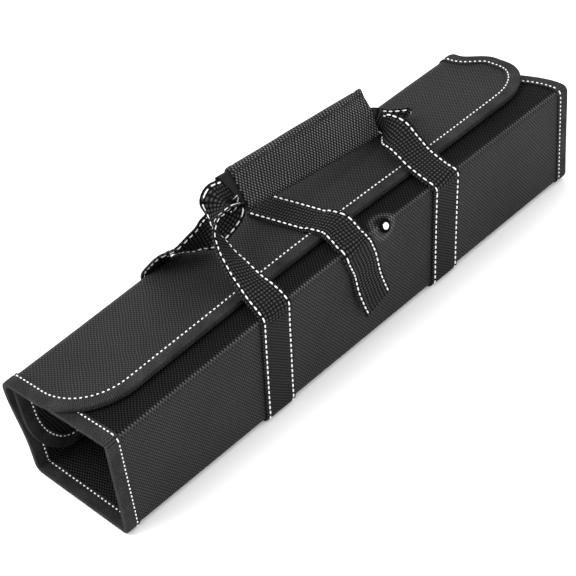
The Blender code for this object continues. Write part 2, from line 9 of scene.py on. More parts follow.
import bmesh
import bpy
from mathutils import Matrix, Vector, noise


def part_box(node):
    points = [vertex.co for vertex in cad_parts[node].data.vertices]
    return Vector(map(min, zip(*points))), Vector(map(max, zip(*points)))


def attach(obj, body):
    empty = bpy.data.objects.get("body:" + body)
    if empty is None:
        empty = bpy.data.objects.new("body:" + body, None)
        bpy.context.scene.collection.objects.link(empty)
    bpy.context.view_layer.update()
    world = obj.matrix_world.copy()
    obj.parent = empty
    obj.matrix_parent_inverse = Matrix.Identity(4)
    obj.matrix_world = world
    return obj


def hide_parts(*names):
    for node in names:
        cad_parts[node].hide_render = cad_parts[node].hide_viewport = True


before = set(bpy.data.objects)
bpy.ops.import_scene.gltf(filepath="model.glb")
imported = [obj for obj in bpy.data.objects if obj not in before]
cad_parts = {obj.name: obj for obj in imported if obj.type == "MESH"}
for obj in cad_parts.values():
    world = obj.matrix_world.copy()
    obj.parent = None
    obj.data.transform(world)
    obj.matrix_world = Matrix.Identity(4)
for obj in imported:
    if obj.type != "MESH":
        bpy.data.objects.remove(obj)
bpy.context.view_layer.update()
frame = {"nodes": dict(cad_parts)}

# Case, in metres
CASE_LENGTH = 0.500
DEPTH_TOP = 0.111
DEPTH_BASE = 0.102
CASE_HEIGHT = 0.0935
TOP_BOW = 0.006
PANEL = 0.0025
GAP = 0.0003

# Flaps: where the free edges lie and how their corners are rounded
FLAP_EDGE = 0.032
FLAP_SETBACK = 0.018
FLAP_SETBACK_FRONT = 0.004
INNER_SETBACK = 0.030
FLAP_SHIFT = 0.004
INNER_FLAP_DROP = 0.0815
CORNER_LONG = 0.052
CORNER_DEEP = 0.050
RIGHT_CORNER_LONG = 0.046
RIGHT_CORNER_DEEP = 0.035
INNER_CORNER_LONG = 0.036

# Where the ends are set back: start and length as shares of the rear wall, of the flap and of the inner top
WALL_TURN = (0.2, 0.8)
FLAP_TURN = (0.06, 0.64)
INNER_TURN = 0.96

# Folds, as radii of the panel's middle surface
FRONT_FOLD = 0.0035
BASE_FOLD = 0.0038
REAR_FOLD = 0.0090
INNER_FOLD = 0.0050

# Tape sewn round the panel's edge
TAPE = 0.0008
TAPE_WIDTH = 0.011

# Webbing
WEB = 0.0020
WEB_WIDTH = 0.030
LEFT_STRAP_X = -0.0955
RIGHT_STRAP_X = 0.0915
STRAP_LEAN = 0.0070
REAR_LEFT_SHIFT = 0.0145
REAR_RIGHT_SHIFT = 0.0045
CLOSURE_X = 0.0
CLOSURE_START = 0.036
CLOSURE_DROP = 0.066
CLOSURE_LIFT = 0.004

# Grip: a flattened sleeve, tilted towards the front
GRIP_LENGTH = 0.1410
GRIP_X = 0.0314
GRIP_Y = 0.0243
GRIP_RISE = 0.0372
GRIP_PITCH = -0.098
GRIP_YAW = -0.016
GRIP_TILT_LEFT = math.radians(55)
GRIP_TILT_RIGHT = math.radians(67)
GRIP_WIDTH_LEFT = 0.0355
GRIP_WIDTH_RIGHT = 0.0420
GRIP_WALL = 0.0016
LINER_WALL = 0.0007
LINER_REACH = 0.0120
WEB_END_INSIDE = 0.030
WEB_SQUEEZE_LEFT = 0.90
WEB_SQUEEZE_RIGHT = 0.62
WEB_DROP_RIGHT = 0.0065

# Stud on the front fold
STUD_X = 0.0295
STUD_RISE = 0.0016
STUD_CAP_D = 0.0064
STUD_RING_D = 0.0110
STUD_RING_T = 0.0008
STUD_CAP_T = 0.0014
STUD_SHANK_D = 0.0026

HALF = PANEL / 2
TAPE_REACH = HALF + GAP + TAPE
LAYER_STEP = 2 * TAPE_REACH + GAP
BASE_Z = WEB + GAP
WEB_OFFSET = HALF + GAP + WEB / 2

# How the top rises between the ends: place as a share of half the length, lift as a share of TOP_BOW
BOW_ROWS = (
    # place, lift
    (-1.00, 0.00),
    (-0.80, 0.20),
    (-0.44, 0.65),
    (-0.10, 1.00),
    (0.20, 0.85),
    (0.45, 0.60),
    (0.70, 0.55),
    (0.92, 0.40),
    (1.00, 0.10),
)

# The straps between wall and grip. along is in strap widths from where the strap leaves its wall. back and
# up are shares of the way from there to the grip. wx, wy and wz point along its width, from lower to higher
# x. wide is the share of its width that it shows there, less than 1 where it curls.
FRONT_LEFT_ROWS = (
    # along, back, up, wx, wy, wz, wide
    (0.01, 0.00, 0.14, 1.00, -0.02, 0.00, 1.00),
    (0.03, 0.07, 0.24, 1.00, -0.04, -0.03, 1.00),
    (0.05, 0.19, 0.33, 0.99, -0.03, -0.14, 1.00),
    (0.07, 0.30, 0.41, 0.95, 0.04, -0.31, 1.00),
    (0.11, 0.42, 0.50, 0.90, 0.08, -0.43, 1.00),
    (0.16, 0.53, 0.60, 0.83, 0.12, -0.54, 1.00),
    (0.23, 0.65, 0.69, 0.71, 0.16, -0.69, 1.00),
    (0.32, 0.75, 0.80, 0.57, 0.24, -0.79, 1.00),
    (0.48, 0.84, 0.92, 0.23, 0.52, -0.82, 1.00),
    (0.72, 0.89, 1.01, 0.05, 0.86, -0.50, 1.00),
    (0.97, 0.95, 1.10, -0.12, 0.86, 0.50, 1.00),
)
FRONT_RIGHT_ROWS = (
    (-0.02, -0.01, 0.13, 1.00, 0.00, 0.00, 1.00),
    (-0.05, 0.01, 0.28, 1.00, 0.00, 0.00, 1.00),
    (-0.08, 0.10, 0.38, 1.00, 0.02, 0.00, 1.00),
    (-0.08, 0.22, 0.48, 1.00, 0.00, 0.00, 1.00),
    (-0.07, 0.34, 0.59, 1.00, -0.02, 0.01, 1.00),
    (-0.03, 0.46, 0.73, 1.00, -0.06, 0.03, 1.00),
    (0.02, 0.58, 0.85, 0.98, -0.14, 0.12, 1.00),
    (0.08, 0.69, 0.91, 0.85, -0.25, 0.45, 0.98),
    (0.17, 0.80, 0.90, 0.50, -0.35, 0.79, 0.86),
    (0.26, 0.90, 0.87, 0.15, -0.32, 0.93, 0.72),
)
REAR_LEFT_ROWS = (
    (0.00, -0.01, 0.18, 1.00, 0.00, 0.00, 1.00),
    (0.03, 0.09, 0.32, 0.98, 0.10, -0.05, 1.00),
    (0.18, 0.43, 0.46, 0.93, 0.00, -0.35, 1.00),
    (0.43, 0.70, 0.53, 0.88, 0.04, -0.47, 1.00),
    (0.76, 0.87, 0.59, 0.80, -0.08, -0.60, 0.97),
    (1.10, 1.02, 0.64, 0.46, -0.41, -0.79, 0.92),
    (1.50, 1.09, 0.74, 0.35, -0.51, -0.79, 0.88),
    (1.72, 1.12, 0.87, 0.20, -0.60, -0.76, 0.88),
)
REAR_RIGHT_ROWS = (
    (0.00, -0.02, 0.30, 1.00, 0.00, 0.00, 1.00),
    (0.02, 0.10, 0.51, 1.00, 0.00, 0.00, 1.00),
    (0.09, 0.32, 0.57, 1.00, 0.05, 0.00, 1.00),
    (0.32, 0.58, 0.57, 1.00, 0.06, 0.00, 1.00),
    (0.70, 0.86, 0.58, 1.00, 0.06, 0.00, 1.00),
    (1.02, 1.15, 0.59, 0.97, 0.00, 0.08, 0.97),
    (1.09, 1.29, 0.68, 0.80, -0.10, 0.42, 0.80),
    (0.90, 1.24, 0.80, 0.35, -0.20, 0.85, 0.66),
    (0.57, 1.10, 0.90, 0.00, 0.10, 1.00, 0.62),
)

# The closure strap's way sideways: place as a share of its length from the grip down, x in strap widths
CLOSURE_ROWS = (
    # place, x
    (0.00, -0.43),
    (0.33, -0.11),
    (0.43, 0.00),
    (0.50, -0.05),
    (0.60, -0.09),
    (0.71, 0.10),
    (0.86, 0.19),
    (1.00, 0.36),
)


def read_rows(rows, place):
    """Read a two-column table along a smooth curve through its rows."""
    slopes = []
    for index in range(len(rows)):
        low, high = rows[max(index - 1, 0)], rows[min(index + 1, len(rows) - 1)]
        slopes.append((high[1] - low[1]) / (high[0] - low[0]))
    place = max(rows[0][0], min(rows[-1][0], place))
    for index, ((low, low_value), (high, high_value)) in enumerate(zip(rows, rows[1:])):
        if place <= high:
            break
    span = high - low
    share = (place - low) / span
    rest = 1 - share
    return (
        low_value * rest * rest * (1 + 2 * share)
        + high_value * share * share * (3 - 2 * share)
        + slopes[index] * span * share * rest * rest
        - slopes[index + 1] * span * share * share * rest
    )


def top_lift(x):
    """How far the top is raised at x."""
    return TOP_BOW * read_rows(BOW_ROWS, 2 * x / CASE_LENGTH)


def top_drop(y):
    """How far the inner top has come down at y, on its way from the front fold to the rear."""
    front_top = -DEPTH_TOP / 2 + HALF
    return LAYER_STEP * (y - front_top) / (DEPTH_TOP - PANEL - LAYER_STEP)


def section_corners(x):
    """Corners (y, z) of the panel's middle line across the case, from the inner to the outer free edge."""
    crease_z = BASE_Z + CASE_HEIGHT - HALF + top_lift(x)
    floor_z = BASE_Z + HALF
    front_top = -DEPTH_TOP / 2 + HALF
    rear_top = DEPTH_TOP / 2 - HALF
    front_base = -DEPTH_BASE / 2 + HALF
    rear_base = DEPTH_BASE / 2 - HALF
    inner_y = rear_top - LAYER_STEP
    inner_z = crease_z - top_drop(inner_y)
    lean = (rear_top - rear_base) / (crease_z - floor_z)
    return (
        (inner_y - lean * INNER_FLAP_DROP, inner_z - INNER_FLAP_DROP),
        (inner_y, inner_z),
        (front_top, crease_z),
        (front_base, floor_z),
        (rear_base, floor_z),
        (rear_top, crease_z - top_drop(rear_top) + LAYER_STEP),
        (-FLAP_EDGE, crease_z - top_drop(-FLAP_EDGE) + LAYER_STEP),
    )


FOLD_RADII = (INNER_FOLD, FRONT_FOLD, BASE_FOLD, BASE_FOLD, REAR_FOLD)


def section_pieces(x):
    """Straight and round pieces of the middle line at x, in order, each with its length."""
    corners = [Vector(corner) for corner in section_corners(x)]
    pieces = []
    start = corners[0]
    for before, corner, after, radius in zip(corners, corners[1:], corners[2:], FOLD_RADII):
        inward = (before - corner).normalized()
        onward = (after - corner).normalized()
        half_angle = math.acos(max(-1.0, min(1.0, inward.dot(onward)))) / 2
        setback = radius / math.tan(half_angle)
        first = corner + inward * setback
        last = corner + onward * setback
        centre = corner + (inward + onward).normalized() * (radius / math.sin(half_angle))
        pieces.append(("line", start, first, (first - start).length))
        pieces.append(("arc", centre, first - centre, radius * (math.pi - 2 * half_angle)))
        start = last
    pieces.append(("line", start, corners[-1], (corners[-1] - start).length))
    return pieces


PLAIN_PIECES = section_pieces(-CASE_LENGTH / 2)
PANEL_LENGTH = sum(piece[3] for piece in PLAIN_PIECES)
PIECE_CACHE = {}


def piece_start(index):
    """Distance along the panel at which a piece of the section starts."""
    return sum(piece[3] for piece in PLAIN_PIECES[:index])


INNER_TOP, FRONT_WALL, FLOOR, REAR_WALL, OUTER_FLAP = 2, 4, 6, 8, 10


def on_panel(s, x):
    """Point and outward normal of the panel's middle surface, s along the fold, x across."""
    key = round(x, 7)
    if key not in PIECE_CACHE:
        PIECE_CACHE[key] = section_pieces(x)
    pieces = PIECE_CACHE[key]
    index = 0
    left = s
    while index < len(pieces) - 1 and left > PLAIN_PIECES[index][3]:
        left -= PLAIN_PIECES[index][3]
        index += 1
    share = left / PLAIN_PIECES[index][3]
    piece = pieces[index]
    if piece[0] == "line":
        flat = piece[1] + (piece[2] - piece[1]) * share
        along = (piece[2] - piece[1]).normalized()
    else:
        radius = piece[2].length
        turn = share * piece[3] / radius
        arm = Vector((
            piece[2].x * math.cos(turn) - piece[2].y * math.sin(turn),
            piece[2].x * math.sin(turn) + piece[2].y * math.cos(turn),
        ))
        flat = piece[1] + arm
        along = Vector((-arm.y, arm.x)) / radius
    return Vector((x, flat.x, flat.y)), Vector((0.0, along.y, -along.x))


def corner_cut(inset, long_radius, deep_radius):
    """How far a rounded corner takes the panel's end back, at this distance from the free edge."""
    if inset >= deep_radius:
        return 0.0
    share = (deep_radius - max(inset, 0.0)) / deep_radius
    return long_radius * (1 - math.sqrt(max(0.0, 1 - share * share)))


def eased(share):
    """A share held between 0 and 1 that starts and ends gently."""
    share = max(0.0, min(1.0, share))
    return share * share * (3 - 2 * share)


def end_x(s, right):
    """Where the panel ends along X, at this distance along the fold."""
    outer_inset = PANEL_LENGTH - s
    inner_cut = corner_cut(s, INNER_CORNER_LONG, CORNER_DEEP)
    end = CASE_LENGTH / 2 - GAP - TAPE
    wall_share = (s - piece_start(REAR_WALL)) / PLAIN_PIECES[REAR_WALL][3]
    wall = eased((wall_share - WALL_TURN[0]) / WALL_TURN[1])
    if not right:
        return -end - FLAP_SHIFT * wall + inner_cut + corner_cut(outer_inset, CORNER_LONG, CORNER_DEEP)
    flap_share = (s - piece_start(OUTER_FLAP)) / (PLAIN_PIECES[OUTER_FLAP][3] - RIGHT_CORNER_DEEP)
    flap = eased((flap_share - FLAP_TURN[0]) / FLAP_TURN[1])
    setback = FLAP_SETBACK + (FLAP_SETBACK_FRONT - FLAP_SETBACK) * flap
    inner_share = (s - piece_start(INNER_TOP)) / PLAIN_PIECES[INNER_TOP][3]
    end -= setback * wall + INNER_SETBACK * eased(1 - inner_share / INNER_TURN)
    return end - inner_cut - corner_cut(outer_inset, RIGHT_CORNER_LONG, RIGHT_CORNER_DEEP)


def smooth_run(keys, steps):
    """Points on a smooth curve through keys of (centre, across), with steps between each two."""
    padded = [keys[0]] + list(keys) + [keys[-1]]
    run = []
    for index in range(1, len(padded) - 2):
        four = padded[index - 1:index + 3]
        for step in range(steps):
            share = step / steps
            weights = (
                (-share + 2 * share ** 2 - share ** 3) / 2,
                (2 - 5 * share ** 2 + 3 * share ** 3) / 2,
                (share + 4 * share ** 2 - 3 * share ** 3) / 2,
                (-share ** 2 + share ** 3) / 2,
            )
            centre = sum((key[0] * weight for key, weight in zip(four, weights)), Vector())
            across = sum((key[1] * weight for key, weight in zip(four, weights)), Vector())
            squeeze = sum(key[1].length * weight for key, weight in zip(four, weights))
            run.append((centre, across.normalized() * squeeze))
    run.append(keys[-1])
    return run


def grip_frame(share):
    """Centre, axis, width direction, face direction and width of the grip at a share of its length."""
    axis = Vector((1.0, GRIP_YAW, GRIP_PITCH)).normalized()
    middle = Vector((GRIP_X, GRIP_Y, BASE_Z + CASE_HEIGHT + GRIP_RISE))
    centre = middle + axis * GRIP_LENGTH * (share - 0.5)
    tilt = GRIP_TILT_LEFT + (GRIP_TILT_RIGHT - GRIP_TILT_LEFT) * share
    across = Vector((0.0, math.cos(tilt), math.sin(tilt)))
    across = (across - axis * across.dot(axis)).normalized()
    width = GRIP_WIDTH_LEFT + (GRIP_WIDTH_RIGHT - GRIP_WIDTH_LEFT) * share
    return centre, axis, across, axis.cross(across), width


def free_stations(rows, start, end):
    """Keys of a strap between its wall and the grip, from a table of strap widths and shares."""
    keys = []
    for along, back, up, wx, wy, wz, wide in rows:
        place = Vector((
            start.x + WEB_WIDTH * along,
            start.y + (end.y - start.y) * back,
            start.z + (end.z - start.z) * up,
        ))
        keys.append((place, Vector((wx, wy, wz)).normalized() * wide))
    return keys


def grip_stations(share, layer, turn, mouth, squeeze, shift):
    """Keys of a strap inside the grip, from its mouth in; layer is 1 for the front run, -1 for the rear."""
    inward = 1 if share < 0.5 else -1
    keys = []
    for depth in (-mouth, 0.0, mouth, WEB_END_INSIDE):
        centre, axis, across, face, _ = grip_frame(share + inward * max(depth, 0.0) / GRIP_LENGTH)
        centre = centre + axis * inward * min(depth, 0.0) + across * shift
        keys.append((centre + face * layer * (WEB + GAP) / 2, across * turn * squeeze))
    return keys


def closure_side():
    """The closure strap seen from its end: (y, height over the front fold) of its middle line."""
    rest = 2 * GAP + WEB / 2
    edge = -FLAP_EDGE - GAP - TAPE
    front = -DEPTH_TOP / 2
    lean = (DEPTH_TOP - DEPTH_BASE) / 2 / CASE_HEIGHT
    over_tape = rest + TAPE + GAP
    fold = FRONT_FOLD + HALF
    wrap = fold + rest + GAP
    side = []
    for y, over_flap in (
        (CLOSURE_START, rest),
        (CLOSURE_START * 0.5, rest),
        (0.0, rest),
        (edge + TAPE_WIDTH * 1.7, rest),
        (edge + TAPE_WIDTH * 1.2, over_tape),
        (edge + TAPE, over_tape),
    ):
        side.append((y, LAYER_STEP - top_drop(y) + over_flap))
    side.append((edge * 0.6 + front * 0.4, side[-1][1] * 0.75))
    for degrees in (80, 100, 120, 140, 160, 178):
        angle = math.radians(degrees)
        side.append((front + fold + wrap * math.cos(angle), -fold + wrap * math.sin(angle)))
    for share in (0.18, 0.35, 0.6, 0.8, 1.0):
        drop = CLOSURE_DROP * share
        lift = CLOSURE_LIFT * max(0.0, (share - 0.35) / 0.65) ** 1.5
        side.append((front + lean * drop - rest - GAP - lift, -drop))
    return side


# How finely pieces are made, in metres or as counts
SHEET_STEP = 0.0030
TAPE_STEP = 0.0020
WEB_STEPS = 12
WEB_WALL_STEP = 0.0020
WEB_STEP = 0.0013
WEB_COLUMNS = 22
CLOSURE_STEPS = 6
FOLD_STEPS = 8
CORNER_ROWS = 24
ROW_MIN = 0.0003
STITCH_SIDES = 6
GRIP_STEPS = 84
GRIP_SIDES = 96
LINER_STEPS = 40
LINER_SIDES = 72
STUD_SIDES = 48

# Cloth: its slack and how far from a fold it starts, the pressed ridge on the front crease, the stud's dimple
SLACK = 0.00040
SLACK_START = 0.018
RIDGE = 0.00025
RIDGE_WIDTH = 0.0009
DIMPLE = 0.0006
DIMPLE_REACH = 0.009

# How much the flap bulges and how strong the small waves are, as shares of the long waves
BULGE = 0.6
SMALL_WAVE = 0.45

# Slack of the faces: each one's share of SLACK
SLACK_SHARES = {INNER_TOP: 0.25, FRONT_WALL: 1.0, REAR_WALL: 1.0, OUTER_FLAP: 0.8}

# Wear and painted highlight: width of the lighter line on the front crease, and radius and width of the lighter
# rim round the stud, both partly wear and partly painted highlight
CREASE_WEAR_AND_HIGHLIGHT = 0.0009
RIM_RADIUS = 0.0095
RIM_WEAR_AND_HIGHLIGHT = 0.0022
WORN_AND_HIGHLIGHT_LEVEL = 0.09

# Webbing: where it leaves the walls, as shares of them, its edge and the groove along its seams
WALL_TOP_SHARE = 0.02
REAR_WALL_SHARE = 0.94
WEB_EDGE = 0.0008
WEB_EDGE_SHARE = 0.62
SEAM_WIDTH = 0.0006

# Tape: how much its thickness varies, where that starts and how fast it changes
PUCKER = 0.12
PUCKER_START = 0.0004
PUCKER_PACE = 0.37

# White stitches
TAPE_STITCH_INSET = 0.0086
TAPE_STITCH_PITCH = 0.0040
TAPE_STITCH_LENGTH = 0.0022
WEB_STITCH_PITCH = 0.0050
WEB_STITCH_LENGTH = 0.0034
WEB_STITCH_PLACE = 0.0123
LEFT_STITCH_START = WEB_END_INSIDE
RIGHT_STITCH_START = WEB_END_INSIDE + 0.008
CLOSURE_STITCH_START = 0.001
TAPE_THREAD = 0.00052
WEB_THREAD = 0.00062
THREAD_END = 0.55
SEAM_DEPTH = 0.00025

# A stitch from end to end: place as a share of its length, height over the seam in metres
STITCH_ROWS = (
    # place, rise
    (-0.50, -0.00045),
    (-0.34, 0.00008),
    (0.00, 0.00022),
    (0.34, 0.00008),
    (0.50, -0.00045),
)

# The tape's section from its inner edge to the fold: inset from the panel's edge, height over its outer face
TAPE_ROWS = (
    # inset, lift
    (TAPE_WIDTH, -TAPE),
    (TAPE_WIDTH, -0.0002),
    (TAPE_WIDTH - 0.0003, 0.0),
    (TAPE_STITCH_INSET + 0.0010, 0.0),
    (TAPE_STITCH_INSET, -SEAM_DEPTH),
    (TAPE_STITCH_INSET - 0.0010, 0.0),
    (TAPE_WIDTH * 0.45, 0.0001),
    (0.0008, 0.0),
    (-GAP - TAPE * 0.6, -0.0003),
    (-GAP - TAPE, -0.0011),
)

# Grip: how far the right end is pressed flat, slack, hems with their seams, pressed line and rounded ends
END_PRESS = 0.7
PRESS_LENGTH = 0.20
PRESS_START = 0.1
PRESS_RISE = 0.7
SLEEVE_SLACK = 0.00022
HEM = 0.0062
HEM_RISE = 0.00025
HEM_EDGE = 0.0008
HEM_SEAM = 0.0068
HEM_SEAM_DEPTH = 0.00035
HEM_SEAM_WIDTH = 0.0007
PRESSED_LINE = 0.60
PRESSED_LINE_DEPTH = 0.00045
PRESSED_LINE_WIDTH = 0.035
END_ROUND = 0.0004
END_ROUND_LENGTH = 0.0009
LINER_MOUTH_SHARE = 0.2
LINER_END_SHARE = 0.98

# Stud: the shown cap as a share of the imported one, its rim and hole, the dome's steps, where edges turn sharp
# in degrees, and the washer's rounded foot
CAP_SHOWN = 0.88
CAP_RIM = 0.3
EYELET_SHARE = 0.35
DOME_STEPS = 8
DOME_TURN = math.radians(9)
STUD_SMOOTH = 50
WASHER_ROUND = 0.0001

# The washer's face: out as a share of its radius, up as a share of its thickness
WASHER_ROWS = (
    # out, up
    (1.00, 0.25),
    (0.96, 0.60),
    (0.88, 0.92),
    (0.78, 1.00),
    (0.64, 0.93),
)

# Camera, fitted to the photograph's 576 pixel frame
PHOTO_SIDE = 576
FOCAL_PIXELS = 1721.81
SENSOR = 36.0
CAMERA_AZIMUTH = -0.69018
CAMERA_ELEVATION = 0.71198
CAMERA_ROLL = -0.16459
CAMERA_DISTANCE = 1.31912
CAMERA_TARGET = Vector((-0.02468, 0.0008, 0.04775))
CAMERA_CLIP = (0.05, 50.0)

# Surroundings
SKY_STRENGTH = 1.4
FLOOR_REACH = 6.0
FLOOR_DROP = 0.0002
LAMPS = (
    # name, place, aim, size, power
    ("key", (-0.9, 0.5, 1.6), (0.0, 0.0, 0.08), 1.2, 26.0),
    ("fill", (0.2, -1.8, 1.0), (0.0, 0.0, 0.06), 1.2, 10.0),
)

STUD_S = piece_start(FRONT_WALL) - STUD_RISE
CREASE_S = piece_start(FRONT_WALL - 1) + PLAIN_PIECES[FRONT_WALL - 1][3] / 2
INNER_FOLD_S = piece_start(INNER_TOP - 1)


def frame_shift():
    """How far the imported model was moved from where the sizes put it, read off the panel's box."""
    low, _ = on_panel(0.0, end_x(0.0, False))
    high = low
    for s in fine_rows(SHEET_STEP):
        for x in (end_x(s, False), end_x(s, True)):
            point, normal = on_panel(s, x)
            for side in (HALF, -HALF):
                spot = point + normal * side
                low = Vector(map(min, low, spot))
                high = Vector(map(max, high, spot))
    packed_low, packed_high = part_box("case_wrap")
    shift = (packed_low + packed_high) / 2 - (low + high) / 2
    return Vector((shift.x, shift.y, 0.0))


def fine_rows(step):
    """Distances along the fold for a fine mesh, closer together on folds and at the rounded corners."""
    turns = [math.pi / 2 * index / CORNER_ROWS for index in range(CORNER_ROWS)]
    rows = [CORNER_DEEP * (1 - math.cos(turn)) for turn in turns]
    rows += [PANEL_LENGTH - row for row in rows]
    for index, piece in enumerate(PLAIN_PIECES):
        start = piece_start(index)
        count = FOLD_STEPS if piece[0] == "arc" else max(2, math.ceil(piece[3] / step))
        rows += [start + piece[3] * share / count for share in range(count + 1)]
    rows = sorted(row for row in rows if 0 <= row <= PANEL_LENGTH)
    kept = [rows[0]]
    for row in rows[1:]:
        if row - kept[-1] > ROW_MIN:
            kept.append(row)
    kept[-1] = PANEL_LENGTH
    return kept


def slack(s, x):
    """How far the cloth stands off the plain panel."""
    lift = 0.0
    for index, share in SLACK_SHARES.items():
        start = piece_start(index)
        length = PLAIN_PIECES[index][3]
        if start <= s <= start + length:
            inset = s - start
            far = length if index == OUTER_FLAP else length - inset
            window = eased(inset / SLACK_START) * eased(far / SLACK_START)
            wave = BULGE if index == OUTER_FLAP else 0.0
            wave += noise.noise(Vector((x * 9.0, s * 13.0, index * 3.1)))
            wave += SMALL_WAVE * noise.noise(Vector((x * 24.0, s * 21.0, 7.0 + index)))
            lift += SLACK * share * window * wave
    near_stud = math.exp(-((s - STUD_S) ** 2 + (x - STUD_X) ** 2) / (DIMPLE_REACH / 2) ** 2)
    lift += RIDGE * math.exp(-((s - CREASE_S) / RIDGE_WIDTH) ** 2) * (1 - near_stud)
    lift -= DIMPLE * near_stud
    return lift


def skin(s, x):
    """Point and outward normal of the slack panel's middle surface, in the frame."""
    point, normal = on_panel(s, x)
    return point + normal * slack(s, x) + SHIFT, normal


def run_lengths(points):
    """Distance of each point along the line through them."""
    lengths = [0.0]
    for before, after in zip(points, points[1:]):
        lengths.append(lengths[-1] + (after - before).length)
    return lengths


def find_place(lengths, at):
    """Which stretch of a line holds this distance, and the share of it that is passed there."""
    index = max(0, min(len(lengths) - 2, bisect.bisect_left(lengths, at) - 1))
    return index, (at - lengths[index]) / max(lengths[index + 1] - lengths[index], 1e-9)


def heading(line, index, closed=True):
    """Direction of a line at one of its points."""
    if closed:
        return (line[(index + 1) % len(line)] - line[index - 1]).normalized()
    return (line[min(index + 1, len(line) - 1)] - line[max(index - 1, 0)]).normalized()


def ring_faces(rings, count, closed=False, base=0):
    """Faces between rings of count points each, the last ring joined to the first where closed."""
    faces = []
    for ring in range(rings if closed else rings - 1):
        here, there = base + ring * count, base + (ring + 1) % rings * count
        for corner in range(count):
            after = (corner + 1) % count
            faces.append((here + corner, there + corner, there + after, here + after))
    return faces


def tube_faces(steps, sides):
    """Faces of a tube with an outer and an inner layer of steps and sides, closed at both ends."""
    layer = (steps + 1) * sides
    faces = []
    for side in range(sides):
        after = (side + 1) % sides
        for a in range(0, layer - sides, sides):
            quad = (a + side, a + after, a + sides + after, a + sides + side)
            faces += [quad[::-1], tuple(layer + corner for corner in quad)]
        for a in (0, steps * sides):
            faces.append((a + side, a + after, layer + a + after, layer + a + side))
    return faces


def make_mesh(name, points, faces, finishes, uvs=None, face_finish=None, smooth_angle=40):
    """One shown piece from points and faces, with flat coordinates for its weave."""
    mesh = bpy.data.meshes.new(name)
    mesh.from_pydata([tuple(point) for point in points], [], faces)
    if uvs is not None:
        layer = mesh.uv_layers.new(name="flat")
        for loop in mesh.loops:
            layer.data[loop.index].uv = uvs[loop.vertex_index]
    for finish in finishes:
        mesh.materials.append(finish)
    if face_finish is not None:
        mesh.polygons.foreach_set("material_index", face_finish)
    shell = bmesh.new()
    shell.from_mesh(mesh)
    bmesh.ops.recalc_face_normals(shell, faces=shell.faces)
    shell.to_mesh(mesh)
    shell.free()
    thing = bpy.data.objects.new(name, mesh)
    bpy.context.scene.collection.objects.link(thing)
    mesh.shade_smooth()
    mesh.set_sharp_from_angle(angle=math.radians(smooth_angle))
    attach(thing, "root")
    return thing


# Shader nodes
def node(tree, kind, inputs=(), **settings):
    """Add a shader node; inputs are values or sockets."""
    made = tree.nodes.new(kind)
    for key, value in settings.items():
        setattr(made, key, value)
    for key, value in dict(inputs).items():
        if isinstance(value, bpy.types.NodeSocket):
            tree.links.new(value, made.inputs[key])
        else:
            made.inputs[key].default_value = value
    return made


def calc(tree, operation, first, second=0.0, third=0.0):
    """A math node's result."""
    made = node(tree, "ShaderNodeMath", {0: first, 1: second, 2: third}, operation=operation)
    return made.outputs[0]


def times(tree, first, second):
    """The product of two values."""
    return calc(tree, "MULTIPLY", first, second)


def mix(tree, share, dark, light):
    """Blend two colours."""
    made = node(tree, "ShaderNodeMix", data_type="RGBA")
    for index, value in ((0, share), (6, dark), (7, light)):
        if isinstance(value, bpy.types.NodeSocket):
            tree.links.new(value, made.inputs[index])
        elif index == 0:
            made.inputs[index].default_value = value
        else:
            made.inputs[index].default_value = (*value, 1.0)
    return made.outputs[2]


def grey(level, blue=None):
    """A grey colour, with another blue where given."""
    return (level, level, level if blue is None else blue)


def new_material(name):
    """An empty material with its output shader."""
    made = bpy.data.materials.new(name)
    made.use_nodes = True
    tree = made.node_tree
    return made, tree, tree.nodes["Principled BSDF"]


def noise_node(tree, place, scale, detail, **settings):
    """A noise texture's value."""
    inputs = {"Vector": place, "Scale": scale, "Detail": detail, **settings}
    return node(tree, "ShaderNodeTexNoise", inputs).outputs[0]


def bell(tree, distance, reach):
    """1 where the distance is 0, falling to nothing past reach."""
    share = times(tree, distance, 1 / reach)
    return calc(tree, "POWER", math.e, times(tree, times(tree, share, share), -1.0))


def finish_shader(tree, shader, colour, specular, height, depth, strength=1.0):
    """Set a surface's colour, its reflection at right angles and its relief."""
    tree.links.new(colour, shader.inputs["Base Color"])
    shader.inputs["Specular IOR Level"].default_value = specular
    bump = node(tree, "ShaderNodeBump", {"Strength": strength, "Distance": depth, "Height": height})
    tree.links.new(bump.outputs[0], shader.inputs["Normal"])


def wear_and_highlight(tree, x, s, crease):
    """How much lighter the cloth is made, partly wear and partly painted highlight: on a line along the crease
    and on a rim round the stud.
    """
    aside = calc(tree, "SUBTRACT", x, STUD_X)
    along = calc(tree, "SUBTRACT", s, STUD_S)
    away = calc(tree, "ADD", times(tree, aside, aside), times(tree, along, along))
    rim = bell(tree, calc(tree, "SUBTRACT", calc(tree, "SQRT", away), RIM_RADIUS), RIM_WEAR_AND_HIGHLIGHT)
    return calc(tree, "ADD", bell(tree, calc(tree, "SUBTRACT", s, crease), CREASE_WEAR_AND_HIGHLIGHT), rim)


